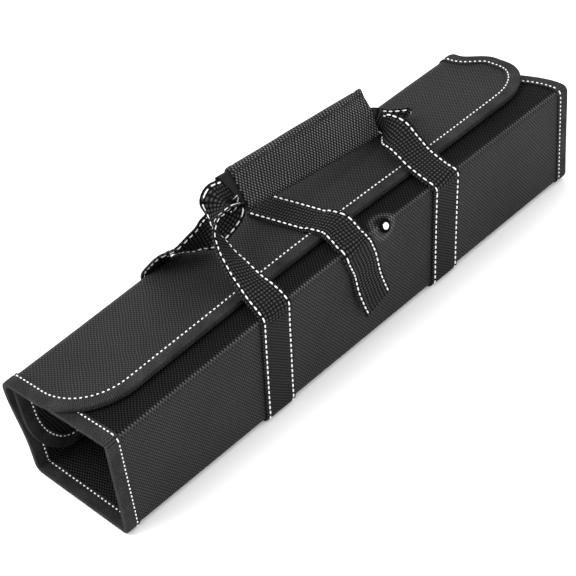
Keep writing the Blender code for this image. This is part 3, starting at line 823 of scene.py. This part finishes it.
def cloth(name, dark, light, pitch, depth, roughness, lean=0.0, square=False, crease=None, sharp=2.0,
          specular=0.15):
    """A woven cloth: thread tops at pitch (along, across) in metres, staggered or square, depth high. The
    thread tops are painted lighter than the gaps, a painted highlight; patches and fibres vary the tone at
    random.
    """
    made, tree, shader = new_material(name)
    uv = node(tree, "ShaderNodeUVMap", uv_map="flat").outputs[0]
    wobble = noise_node(tree, uv, 60.0, 2.0)
    patches = noise_node(tree, uv, 14.0, 3.0)
    fibres = noise_node(tree, uv, 1500.0, 2.0)
    split = node(tree, "ShaderNodeSeparateXYZ", {0: uv})
    x, s = split.outputs[0], split.outputs[1]
    shift = times(tree, calc(tree, "SUBTRACT", wobble, 0.5), pitch[0] * 0.8)
    waves = []
    for place, length in ((calc(tree, "MULTIPLY_ADD", s, lean, x), pitch[0]), (s, pitch[1])):
        turn = times(tree, calc(tree, "ADD", place, shift), 2 * math.pi / length)
        waves.append(calc(tree, "COSINE", turn))
    if square:
        waves = [calc(tree, "MULTIPLY_ADD", wave, 0.5, 0.5) for wave in waves]
        height = calc(tree, "POWER", times(tree, *waves), 0.7)
    else:
        height = calc(tree, "MULTIPLY_ADD", times(tree, *waves), 0.5, 0.5)
    grain = times(tree, calc(tree, "SUBTRACT", fibres, 0.5), 0.5)
    share = times(tree, calc(tree, "POWER", height, sharp), calc(tree, "ADD", grain, 1.0))
    share = times(tree, share, calc(tree, "MULTIPLY_ADD", patches, 1.2, 0.4))
    # Dark in the gaps, light on the thread tops: painted highlight, with a random tone from the patches and
    # fibres
    colour = mix(tree, share, dark, light)
    # Lighter dots on the front crease and round the stud: partly wear, partly painted highlight
    if crease:
        dots = times(tree, calc(tree, "POWER", height, 2.0), times(tree, patches, 2.0))
        colour = mix(tree, times(tree, wear_and_highlight(tree, x, s, crease), dots), colour, grey(WORN_AND_HIGHLIGHT_LEVEL))
    rough = calc(tree, "MULTIPLY_ADD", height, -0.18, roughness + 0.09)
    tree.links.new(rough, shader.inputs["Roughness"])
    finish_shader(tree, shader, colour, specular, height, depth)
    return made


def tape_material():
    """Matt tape with fine ribs across it and a coarse grain."""
    made, tree, shader = new_material("tape")
    uv = node(tree, "ShaderNodeUVMap", uv_map="flat").outputs[0]
    along = node(tree, "ShaderNodeSeparateXYZ", {0: uv}).outputs[0]
    ribs = calc(tree, "SINE", times(tree, along, 2 * math.pi / 0.0016))
    grain = noise_node(tree, uv, 800.0, 3.0, Roughness=0.7)
    patches = noise_node(tree, uv, 60.0, 3.0)
    height = calc(tree, "MULTIPLY_ADD", ribs, 0.15, grain)
    share = times(tree, calc(tree, "POWER", height, 2.0), times(tree, patches, 2.0))
    colour = mix(tree, share, grey(0.001), grey(0.060, 0.061))
    shader.inputs["Roughness"].default_value = 0.72
    finish_shader(tree, shader, colour, 0.09, height, 0.0005)
    return made


def thread_material():
    """White sewing thread with its twist."""
    made, tree, shader = new_material("thread")
    place = node(tree, "ShaderNodeTexCoord").outputs["Object"]
    twist = noise_node(tree, place, 2400.0, 2.0)
    tone = mix(tree, twist, grey(0.62, 0.60), grey(0.93, 0.91))
    shader.inputs["Roughness"].default_value = 0.6
    finish_shader(tree, shader, tone, 0.5, twist, 0.0001, strength=0.6)
    return made


def hard_material(name, colour, metallic, roughness):
    """Polished or painted metal with fine wear."""
    made, tree, shader = new_material(name)
    place = node(tree, "ShaderNodeTexCoord").outputs["Object"]
    marks = noise_node(tree, place, 900.0, 4.0)
    shader.inputs["Base Color"].default_value = (*colour, 1.0)
    shader.inputs["Metallic"].default_value = metallic
    shader.inputs["Specular IOR Level"].default_value = 0.0
    tree.links.new(calc(tree, "MULTIPLY_ADD", marks, 0.2, roughness), shader.inputs["Roughness"])
    bump = node(tree, "ShaderNodeBump", {"Strength": 0.2, "Distance": 0.0001, "Height": marks})
    tree.links.new(bump.outputs[0], shader.inputs["Normal"])
    return made


# Case
def case_sheet(outer, lining, shaded):
    """The folded panel with its slack, woven outside and mesh-lined inside; its inner top gets a darker copy of
    the nylon, painted shade.
    """
    rows = fine_rows(SHEET_STEP)
    columns = round(CASE_LENGTH / SHEET_STEP)
    width = columns + 1
    points, uvs = [], []
    for side in (1, -1):
        for s in rows:
            left, right = end_x(s, False), end_x(s, True)
            for column in range(width):
                x = left + (right - left) * column / columns
                point, normal = skin(s, x)
                points.append(point + normal * HALF * side)
                uvs.append((x, s))
    sheet = len(rows) * width
    faces, finish = [], []
    for row in range(len(rows) - 1):
        for column in range(columns):
            a = row * width + column
            quad = (a, a + 1, a + 1 + width, a + width)
            faces += [quad[::-1], tuple(sheet + corner for corner in quad)]
            # The inner top between its fold and the front crease takes the darker shaded copy of the nylon:
            # painted shade
            finish += [2 if INNER_FOLD_S < rows[row] < CREASE_S else 0, 1]
        for a in (row * width, row * width + columns):
            faces.append((a, a + width, sheet + a + width, sheet + a))
            finish.append(0)
    for column in range(columns):
        for a in (column, (len(rows) - 1) * width + column):
            faces.append((a, a + 1, sheet + a + 1, sheet + a))
            finish.append(0)
    piece = make_mesh("case_cloth", points, faces, [outer, lining, shaded], uvs, finish)
    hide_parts("case_wrap")


def even_loop(loop, step):
    """A closed flat line with its points step apart."""
    closed = loop + [loop[0]]
    lengths = run_lengths(closed)
    count = round(lengths[-1] / step)
    spots = []
    for number in range(count):
        index, share = find_place(lengths, lengths[-1] * number / count)
        spots.append(closed[index].lerp(closed[index + 1], share))
    return spots


def edge_path():
    """The panel's edge as flat points (x, s) once round, evenly spaced."""
    rows = fine_rows(TAPE_STEP)
    loop = [Vector((end_x(s, False), s)) for s in rows]
    loop += [Vector((end_x(s, True), s)) for s in reversed(rows)]
    return even_loop(loop, TAPE_STEP)


def flat_inward(run):
    """Direction from the panel's edge to its inside, beside an edge that runs this way."""
    return Vector((run.y, -run.x))


def edge_tape(finish):
    """The binding tape folded over the edge, with a groove where it is sewn."""
    loop = edge_path()
    reach = HALF + GAP
    top = [(inset, reach + TAPE + lift) for inset, lift in TAPE_ROWS]
    profile = top + [(inset, -height) for inset, height in reversed(top)] + [(-GAP, -reach), (-GAP, reach)]
    around = run_lengths([Vector(spot) for spot in profile])
    points, uvs = [], []
    for index, spot in enumerate(loop):
        inward = flat_inward(heading(loop, index))
        pucker = 1 + PUCKER * noise.noise(Vector((index * PUCKER_PACE, 0.0, 0.0)))
        for (inset, height), across in zip(profile, around):
            place = spot + inward * inset
            point, normal = skin(place.y, place.x)
            if abs(height) > reach + PUCKER_START and inset > 0:
                height *= pucker
            points.append(point + normal * height)
            uvs.append((index * TAPE_STEP, across))
    faces = ring_faces(len(loop), len(profile), closed=True)
    piece = make_mesh("edge_tape", points, faces, [finish], uvs)
    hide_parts("edge_binding")


# Stitches
def add_stitch(points, faces, line, normals, radius):
    """One short thread along line, closed and thinner at both ends."""
    base = len(points)
    last = len(line) - 1
    for index, (centre, normal) in enumerate(zip(line, normals)):
        side = heading(line, index, closed=False).cross(normal).normalized()
        thick = radius * (THREAD_END if index in (0, last) else 1.0)
        for corner in range(STITCH_SIDES):
            angle = 2 * math.pi * corner / STITCH_SIDES
            points.append(centre + side * math.cos(angle) * thick + normal * math.sin(angle) * thick)
    faces += ring_faces(len(line), STITCH_SIDES, base=base)
    faces.append(tuple(base + corner for corner in reversed(range(STITCH_SIDES))))
    faces.append(tuple(base + last * STITCH_SIDES + corner for corner in range(STITCH_SIDES)))


def tape_stitches(finish):
    """White stitches all along the binding, on both its faces."""
    edge = edge_path()
    inner = [spot + flat_inward(heading(edge, index)) * TAPE_STITCH_INSET for index, spot in enumerate(edge)]
    loop = even_loop(inner, TAPE_STITCH_PITCH)
    points, faces = [], []
    surface = HALF + GAP + TAPE - SEAM_DEPTH
    for index, spot in enumerate(loop):
        run = heading(loop, index)
        for side in (1, -1):
            line, normals = [], []
            for share, rise in STITCH_ROWS:
                place = spot + run * TAPE_STITCH_LENGTH * share
                point, normal = skin(place.y, place.x)
                line.append(point + normal * side * (surface + rise))
                normals.append(normal * side)
            add_stitch(points, faces, line, normals, TAPE_THREAD)
    piece = make_mesh("tape_stitches", points, faces, [finish])


# Webbing
def fine_wall(front_x, rear_x):
    """Stations of a strap on the case: (centre, across, True where it lies on the case)."""
    first = piece_start(FRONT_WALL) + PLAIN_PIECES[FRONT_WALL][3] * WALL_TOP_SHARE
    last = piece_start(REAR_WALL) + PLAIN_PIECES[REAR_WALL][3] * REAR_WALL_SHARE
    floor = piece_start(FLOOR)
    count = math.ceil((last - first) / WEB_WALL_STEP)
    stations = []
    for step in range(count + 1):
        s = first + (last - first) * step / count
        if s < floor:
            x = front_x + STRAP_LEAN * (floor - s) / (floor - first)
        else:
            x = front_x + (rear_x - front_x) * (s - floor) / (last - floor)
        point, normal = on_panel(s, x)
        stations.append((point + normal * (WEB_OFFSET + slack(s, x)), Vector((1.0, 0.0, 0.0)), True))
    return stations


def free_run(keys):
    """Stations of a strap's free stretch, from the wall to inside the grip."""
    return [(centre, across, False) for centre, across in smooth_run(keys, WEB_STEPS)]


def strap_line(front_x, rear_shift, front_end, rear_end, front_rows, rear_rows):
    """All stations of one strap, from its front end in the grip round the case to its rear end there."""
    wall = fine_wall(front_x, front_x + STRAP_LEAN - rear_shift)
    front = [wall[0][:2]] + free_stations(front_rows, wall[0][0], front_end[1][0]) + front_end
    rear = [wall[-1][:2]] + free_stations(rear_rows, wall[-1][0], rear_end[1][0]) + rear_end
    return free_run(front)[:0:-1] + wall + free_run(rear)[1:]


def even_stations(stations):
    """The same strap with its stations evenly spaced."""
    lengths = run_lengths([centre for centre, _, _ in stations])
    count = math.ceil(lengths[-1] / WEB_STEP)
    even = []
    for number in range(count + 1):
        index, share = find_place(lengths, lengths[-1] * number / count)
        low, high = stations[index], stations[index + 1]
        squeeze = low[1].length + (high[1].length - low[1].length) * share
        across = low[1].lerp(high[1], share).normalized() * squeeze
        even.append((low[0].lerp(high[0], share), across, low[2] and high[2]))
    return even


def web_frames(stations):
    """(centre, half width direction, outward, on the case) for each station."""
    centres = [station[0] for station in stations]
    frames = []
    for index, (centre, across, on_case) in enumerate(stations):
        run = heading(centres, index, closed=False)
        squeeze = across.length
        across = (across - run * across.dot(run)).normalized()
        frames.append((centre + SHIFT, across * squeeze, run.cross(across).normalized(), on_case))
    return frames


def web_profile():
    """The webbing's section as (place across as a share of half the width, height), once round."""
    top = []
    for column in range(WEB_COLUMNS + 1):
        place = -1 + 2 * column / WEB_COLUMNS
        at = abs(place) * WEB_WIDTH / 2
        groove = SEAM_DEPTH * math.exp(-((at - WEB_STITCH_PLACE) / SEAM_WIDTH) ** 2)
        edge = WEB_EDGE_SHARE + (1 - WEB_EDGE_SHARE) * eased((WEB_WIDTH / 2 - at) / WEB_EDGE)
        top.append((place, WEB / 2 * edge - groove))
    return top + [(place, -height) for place, height in reversed(top)]


def web_piece(name, frames, finishes, node_name):
    """A strap of webbing through its frames, flatter woven where it lies on the case."""
    profile = web_profile()
    count = len(profile)
    travelled = run_lengths([frame[0] for frame in frames])
    points, uvs = [], []
    for (centre, across, outward, _), at in zip(frames, travelled):
        for place, height in profile:
            points.append(centre + across * place * WEB_WIDTH / 2 + outward * height)
            uvs.append((place * WEB_WIDTH / 2, at))
    faces = ring_faces(len(frames), count)
    on_case = []
    for low, high in zip(frames, frames[1:]):
        on_case += [int(low[3] and high[3])] * count
    last = (len(frames) - 1) * count
    faces += [tuple(range(count)), tuple(last + corner for corner in reversed(range(count)))]
    on_case += [0, 0]
    piece = make_mesh(name, points, faces, finishes, uvs, on_case)
    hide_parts(node_name)


def web_stitches(name, frames, finish, skip, both_faces):
    """Two rows of white stitches along a strap, also on its inner face where both_faces and it is free."""
    lengths = run_lengths([frame[0] for frame in frames])
    surface = WEB / 2 - SEAM_DEPTH
    points, faces = [], []

    def at(distance):
        """Frame at this distance along the strap."""
        index, share = find_place(lengths, max(0.0, min(lengths[-1], distance)))
        low, high = frames[index], frames[index + 1]
        return (low[0].lerp(high[0], share), low[1].lerp(high[1], share),
                low[2].lerp(high[2], share).normalized(), low[3] and high[3])

    for number in range(int((lengths[-1] - 2 * skip) / WEB_STITCH_PITCH)):
        middle = skip + WEB_STITCH_PITCH * (number + 0.5)
        for face in (1, -1) if both_faces and not at(middle)[3] else (1,):
            for edge in (-1, 1):
                line, normals = [], []
                for share, rise in STITCH_ROWS:
                    centre, across, outward, _ = at(middle + WEB_STITCH_LENGTH * share)
                    spot = centre + across * edge * WEB_STITCH_PLACE
                    line.append(spot + outward * face * (surface + rise))
                    normals.append(outward * face)
                if min(spot.z for spot in line) > WEB_THREAD:
                    add_stitch(points, faces, line, normals, WEB_THREAD)
    piece = make_mesh(name, points, faces, [finish])


def sewn_web(name, line, finishes, thread, skip, both_faces=True):
    """A strap and its stitches along a line of stations."""
    frames = web_frames(even_stations(line))
    web_piece(name + "_web", frames, finishes, name + "_strap")
    web_stitches(name + "_web_stitches", frames, thread, skip, both_faces)


def straps(finishes, thread):
    """Both carrying straps with their stitches."""
    left = (LINER_REACH, WEB_SQUEEZE_LEFT, 0.0)
    right = (LINER_REACH / 4, WEB_SQUEEZE_RIGHT, -WEB_DROP_RIGHT)
    line = strap_line(LEFT_STRAP_X, REAR_LEFT_SHIFT, grip_stations(0.0, 1, 1, *left),
                      grip_stations(0.0, -1, -1, *left), FRONT_LEFT_ROWS, REAR_LEFT_ROWS)
    sewn_web("left", line, finishes, thread, LEFT_STITCH_START)
    line = strap_line(RIGHT_STRAP_X, REAR_RIGHT_SHIFT, grip_stations(1.0, 1, 1, *right),
                      grip_stations(1.0, -1, 1, *right), FRONT_RIGHT_ROWS, REAR_RIGHT_ROWS)
    sewn_web("right", line, finishes, thread, RIGHT_STITCH_START)


def closure(finishes, thread):
    """The slanted closure strap with its stitches, from under the grip to its free end."""
    side = closure_side()
    lengths = run_lengths([Vector(spot) for spot in side])
    level = Vector((1.0, 0.0, 0.0))
    keys = []
    for (y, height), at in zip(side, lengths):
        x = CLOSURE_X + WEB_WIDTH * read_rows(CLOSURE_ROWS, at / lengths[-1])
        lift = max(top_lift(x + WEB_WIDTH * share) for share in (-0.6, -0.3, 0.0, 0.3, 0.6))
        keys.append((Vector((x, y, BASE_Z + CASE_HEIGHT + height + lift)), level))
    centres = [centre for centre, _ in smooth_run(keys, CLOSURE_STEPS)]
    line = []
    for index, centre in enumerate(centres):
        run = heading(centres, index, closed=False)
        line.append((centre, (level - run * run.x).normalized(), False))
    sewn_web("closure", line, finishes, thread, CLOSURE_STITCH_START, both_faces=False)


# Grip
def sleeve_section(share, around, grow, reach=0.0):
    """Point of the sleeve at a share of its length and of its way round, grow outside its outer face."""
    centre, axis, across, face, width = grip_frame(share)
    plain = WEB + GAP + LINER_WALL + GAP + GRIP_WALL + GAP / 2
    half = width / 2 - plain
    radius = plain + grow
    bend = math.pi * radius
    at = around * (4 * half + 2 * bend)
    sign = 1 if at < 2 * half + bend else -1
    past = at if sign > 0 else at - 2 * half - bend
    angle = max(0.0, past - 2 * half) / radius
    out_a, out_f = -sign * math.sin(angle), sign * math.cos(angle)
    place = sign * (half - min(past, 2 * half)) + radius * out_a
    height = radius * out_f
    level = place / (width / 2)
    pressed = eased((share - 1 + PRESS_LENGTH) / PRESS_LENGTH) * eased((level - PRESS_START) / PRESS_RISE)
    height *= 1 - END_PRESS * pressed
    pull = reach * (0.5 + 0.5 * level)
    point = centre + across * place + face * height - axis * pull
    return point + SHIFT, across * out_a + face * out_f, at, level


def sleeve_relief(share, place, front):
    """Hems, the pressed line and the slack of the padded sleeve."""
    relief = SLEEVE_SLACK * noise.noise(Vector((share * 5.0, place * 2.2, 3.0 if front else -3.0)))
    for gap in (share * GRIP_LENGTH, (1 - share) * GRIP_LENGTH):
        relief += HEM_RISE * eased((HEM - gap) / HEM_EDGE)
        relief -= HEM_SEAM_DEPTH * math.exp(-((gap - HEM_SEAM) / HEM_SEAM_WIDTH) ** 2)
    if front:
        relief -= PRESSED_LINE_DEPTH * math.exp(-((place - PRESSED_LINE) / PRESSED_LINE_WIDTH) ** 2)
    end = min(share, 1 - share) * GRIP_LENGTH
    return relief - END_ROUND * (1 - eased(end / END_ROUND_LENGTH))


def grip_piece(finish):
    """The padded sleeve round the straps."""
    points, uvs = [], []
    for grow in (0.0, -GRIP_WALL):
        for step in range(GRIP_STEPS + 1):
            share = step / GRIP_STEPS
            for side in range(GRIP_SIDES):
                point, out, at, place = sleeve_section(share, side / GRIP_SIDES, grow)
                if grow == 0:
                    point += out * sleeve_relief(share, place, side < GRIP_SIDES / 2)
                points.append(point)
                uvs.append((share * GRIP_LENGTH, at))
    piece = make_mesh("grip_sleeve", points, tube_faces(GRIP_STEPS, GRIP_SIDES), [finish], uvs)
    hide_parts("grip_wrap")


def liner_piece(finish):
    """The smooth cloth inside the sleeve, which shows past its left end."""
    points, uvs = [], []
    outer = -GRIP_WALL - GAP
    for grow in (outer, outer - LINER_WALL):
        for step in range(LINER_STEPS + 1):
            place = step / LINER_STEPS
            reach = LINER_REACH * (1 - eased(place / LINER_MOUTH_SHARE))
            share = LINER_END_SHARE * max(0.0, (place - LINER_MOUTH_SHARE) / (1 - LINER_MOUTH_SHARE))
            for side in range(LINER_SIDES):
                point, _, at, _ = sleeve_section(share, side / LINER_SIDES, grow, reach)
                points.append(point)
                uvs.append((share * GRIP_LENGTH - reach, at))
    piece = make_mesh("grip_lining", points, tube_faces(LINER_STEPS, LINER_SIDES), [finish], uvs)
    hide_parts("grip_liner")


# Stud
def turned_piece(name, profile, finish, node_name):
    """A round piece from a closed profile of (radius, height) turned about the stud's axis."""
    point, normal = on_panel(STUD_S, STUD_X)
    seat = point + SHIFT + normal * (HALF + GAP)
    side_a = normal.orthogonal().normalized()
    side_b = normal.cross(side_a)
    points = []
    for turn in range(STUD_SIDES):
        angle = 2 * math.pi * turn / STUD_SIDES
        arm = side_a * math.cos(angle) + side_b * math.sin(angle)
        points += [seat + arm * radius + normal * height for radius, height in profile]
    faces = ring_faces(STUD_SIDES, len(profile), closed=True)
    piece = make_mesh(name, points, faces, [finish], smooth_angle=STUD_SMOOTH)
    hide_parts(node_name)


def stud(cap_finish, ring_finish):
    """The bright rivet cap in its dark washer."""
    shank, ring = STUD_SHANK_D / 2, STUD_RING_D / 2
    washer = [(shank + GAP, 0.0), (ring - WASHER_ROUND, 0.0)]
    washer += [(ring * out, STUD_RING_T * up) for out, up in WASHER_ROWS]
    washer.append((shank + GAP, STUD_RING_T * 0.9))
    turned_piece("stud_washer", washer, ring_finish, "stud_ring")
    cap, low = STUD_CAP_D / 2 * CAP_SHOWN, STUD_RING_T + GAP
    eyelet = shank * EYELET_SHARE
    profile = [(eyelet, 0.0), (shank, 0.0), (shank, low), (cap * 0.96, low), (cap, low + STUD_CAP_T * 0.12)]
    for step in range(DOME_STEPS):
        turn = DOME_TURN * step
        rise = CAP_RIM + (1 - CAP_RIM) * math.sin(turn)
        profile.append((cap * math.cos(turn), low + STUD_CAP_T * rise))
    profile.append((eyelet, low + STUD_CAP_T))
    turned_piece("stud_dome", profile, cap_finish, "stud_cap")


# Camera, light and floor
def camera():
    """The photograph's camera."""
    back = Vector((
        math.sin(CAMERA_AZIMUTH) * math.cos(CAMERA_ELEVATION),
        -math.cos(CAMERA_AZIMUTH) * math.cos(CAMERA_ELEVATION),
        math.sin(CAMERA_ELEVATION),
    ))
    level = Vector((math.cos(CAMERA_AZIMUTH), math.sin(CAMERA_AZIMUTH), 0.0))
    rise = back.cross(level)
    right = level * math.cos(CAMERA_ROLL) + rise * math.sin(CAMERA_ROLL)
    up = -level * math.sin(CAMERA_ROLL) + rise * math.cos(CAMERA_ROLL)
    lens = bpy.data.cameras.new("camera")
    lens.sensor_width = SENSOR
    lens.lens = FOCAL_PIXELS / PHOTO_SIDE * SENSOR
    lens.clip_start, lens.clip_end = CAMERA_CLIP
    eye = bpy.data.objects.new("camera", lens)
    bpy.context.scene.collection.objects.link(eye)
    turn = Matrix((right, up, back)).transposed()
    eye.matrix_world = Matrix.Translation(CAMERA_TARGET + back * CAMERA_DISTANCE) @ turn.to_4x4()
    bpy.context.scene.camera = eye


def soft_light(name, place, aim, size, power):
    """A large soft lamp."""
    lamp = bpy.data.lights.new(name, "AREA")
    lamp.shape = "DISK"
    lamp.size = size
    lamp.energy = power
    thing = bpy.data.objects.new(name, lamp)
    thing.location = place
    thing.rotation_euler = (Vector(aim) - Vector(place)).to_track_quat("-Z", "Y").to_euler()
    bpy.context.scene.collection.objects.link(thing)


def studio():
    """Pale floor, pale surroundings and soft lamps."""
    scene = bpy.context.scene
    scene.view_settings.view_transform = "Standard"
    scene.world = bpy.data.worlds.new("studio")
    scene.world.use_nodes = True
    sky = scene.world.node_tree.nodes["Background"]
    sky.inputs["Color"].default_value = (1.0, 1.0, 1.0, 1.0)
    sky.inputs["Strength"].default_value = SKY_STRENGTH
    mesh = bpy.data.meshes.new("floor")
    corners = [(FLOOR_REACH * x, FLOOR_REACH * y, 0.0) for x, y in ((-1, -1), (1, -1), (1, 1), (-1, 1))]
    mesh.from_pydata(corners, [], [(0, 1, 2, 3)])
    floor = bpy.data.objects.new("floor", mesh)
    floor.location.z = -FLOOR_DROP
    scene.collection.objects.link(floor)
    made, tree, shader = new_material("floor")
    shade = node(tree, "ShaderNodeTexNoise", {"Scale": 3.0}).outputs[0]
    tree.links.new(mix(tree, shade, grey(0.93), grey(0.95)), shader.inputs["Base Color"])
    shader.inputs["Roughness"].default_value = 0.9
    shader.inputs["Specular IOR Level"].default_value = 0.1
    mesh.materials.append(made)
    for lamp in LAMPS:
        soft_light(*lamp)


SHIFT = frame_shift()
nylon = cloth("nylon", grey(0.004, 0.0045), grey(0.036, 0.0365), (0.0027, 0.0036), 0.00045, 0.55,
              crease=CREASE_S, specular=0.09)
# Darker copy of the nylon with less reflection: painted shade on the inner top under the flap
shaded = cloth("shaded_nylon", grey(0.0005), grey(0.016, 0.0165), (0.0027, 0.0036), 0.00050, 0.60,
               crease=CREASE_S, specular=0.035)
lining = cloth("lining", grey(0.001), grey(0.044, 0.045), (0.0027, 0.0040), 0.00040, 0.5,
               lean=-0.3, sharp=3.0, specular=0.07)
web = cloth("webbing", grey(0.002), grey(0.052, 0.053), (0.0031, 0.0027), 0.00060, 0.6,
            square=True, sharp=1.5, specular=0.04)
flat_web = cloth("flat_webbing", grey(0.004), grey(0.034, 0.035), (0.0037, 0.0028), 0.00030, 0.6,
                 specular=0.03)
# The grip mesh's bright thread tops are painted highlight
mesh_cloth = cloth("grip_mesh", grey(0.001), grey(0.19, 0.193), (0.00282, 0.00396), 0.00060, 0.5,
                   lean=-0.324, sharp=4.0, specular=0.07)
smooth_cloth = cloth("liner", grey(0.003), grey(0.008), (0.0008, 0.0008), 0.00005, 0.6)
tape = tape_material()
thread = thread_material()
case_sheet(nylon, lining, shaded)
edge_tape(tape)
tape_stitches(thread)
straps((web, flat_web), thread)
closure((web, flat_web), thread)
grip_piece(mesh_cloth)
liner_piece(smooth_cloth)
bright = hard_material("bright_metal", grey(0.9), 1.0, 0.12)
dark = hard_material("black_paint", grey(0.003), 0.0, 0.9)
stud(bright, dark)
camera()
studio()
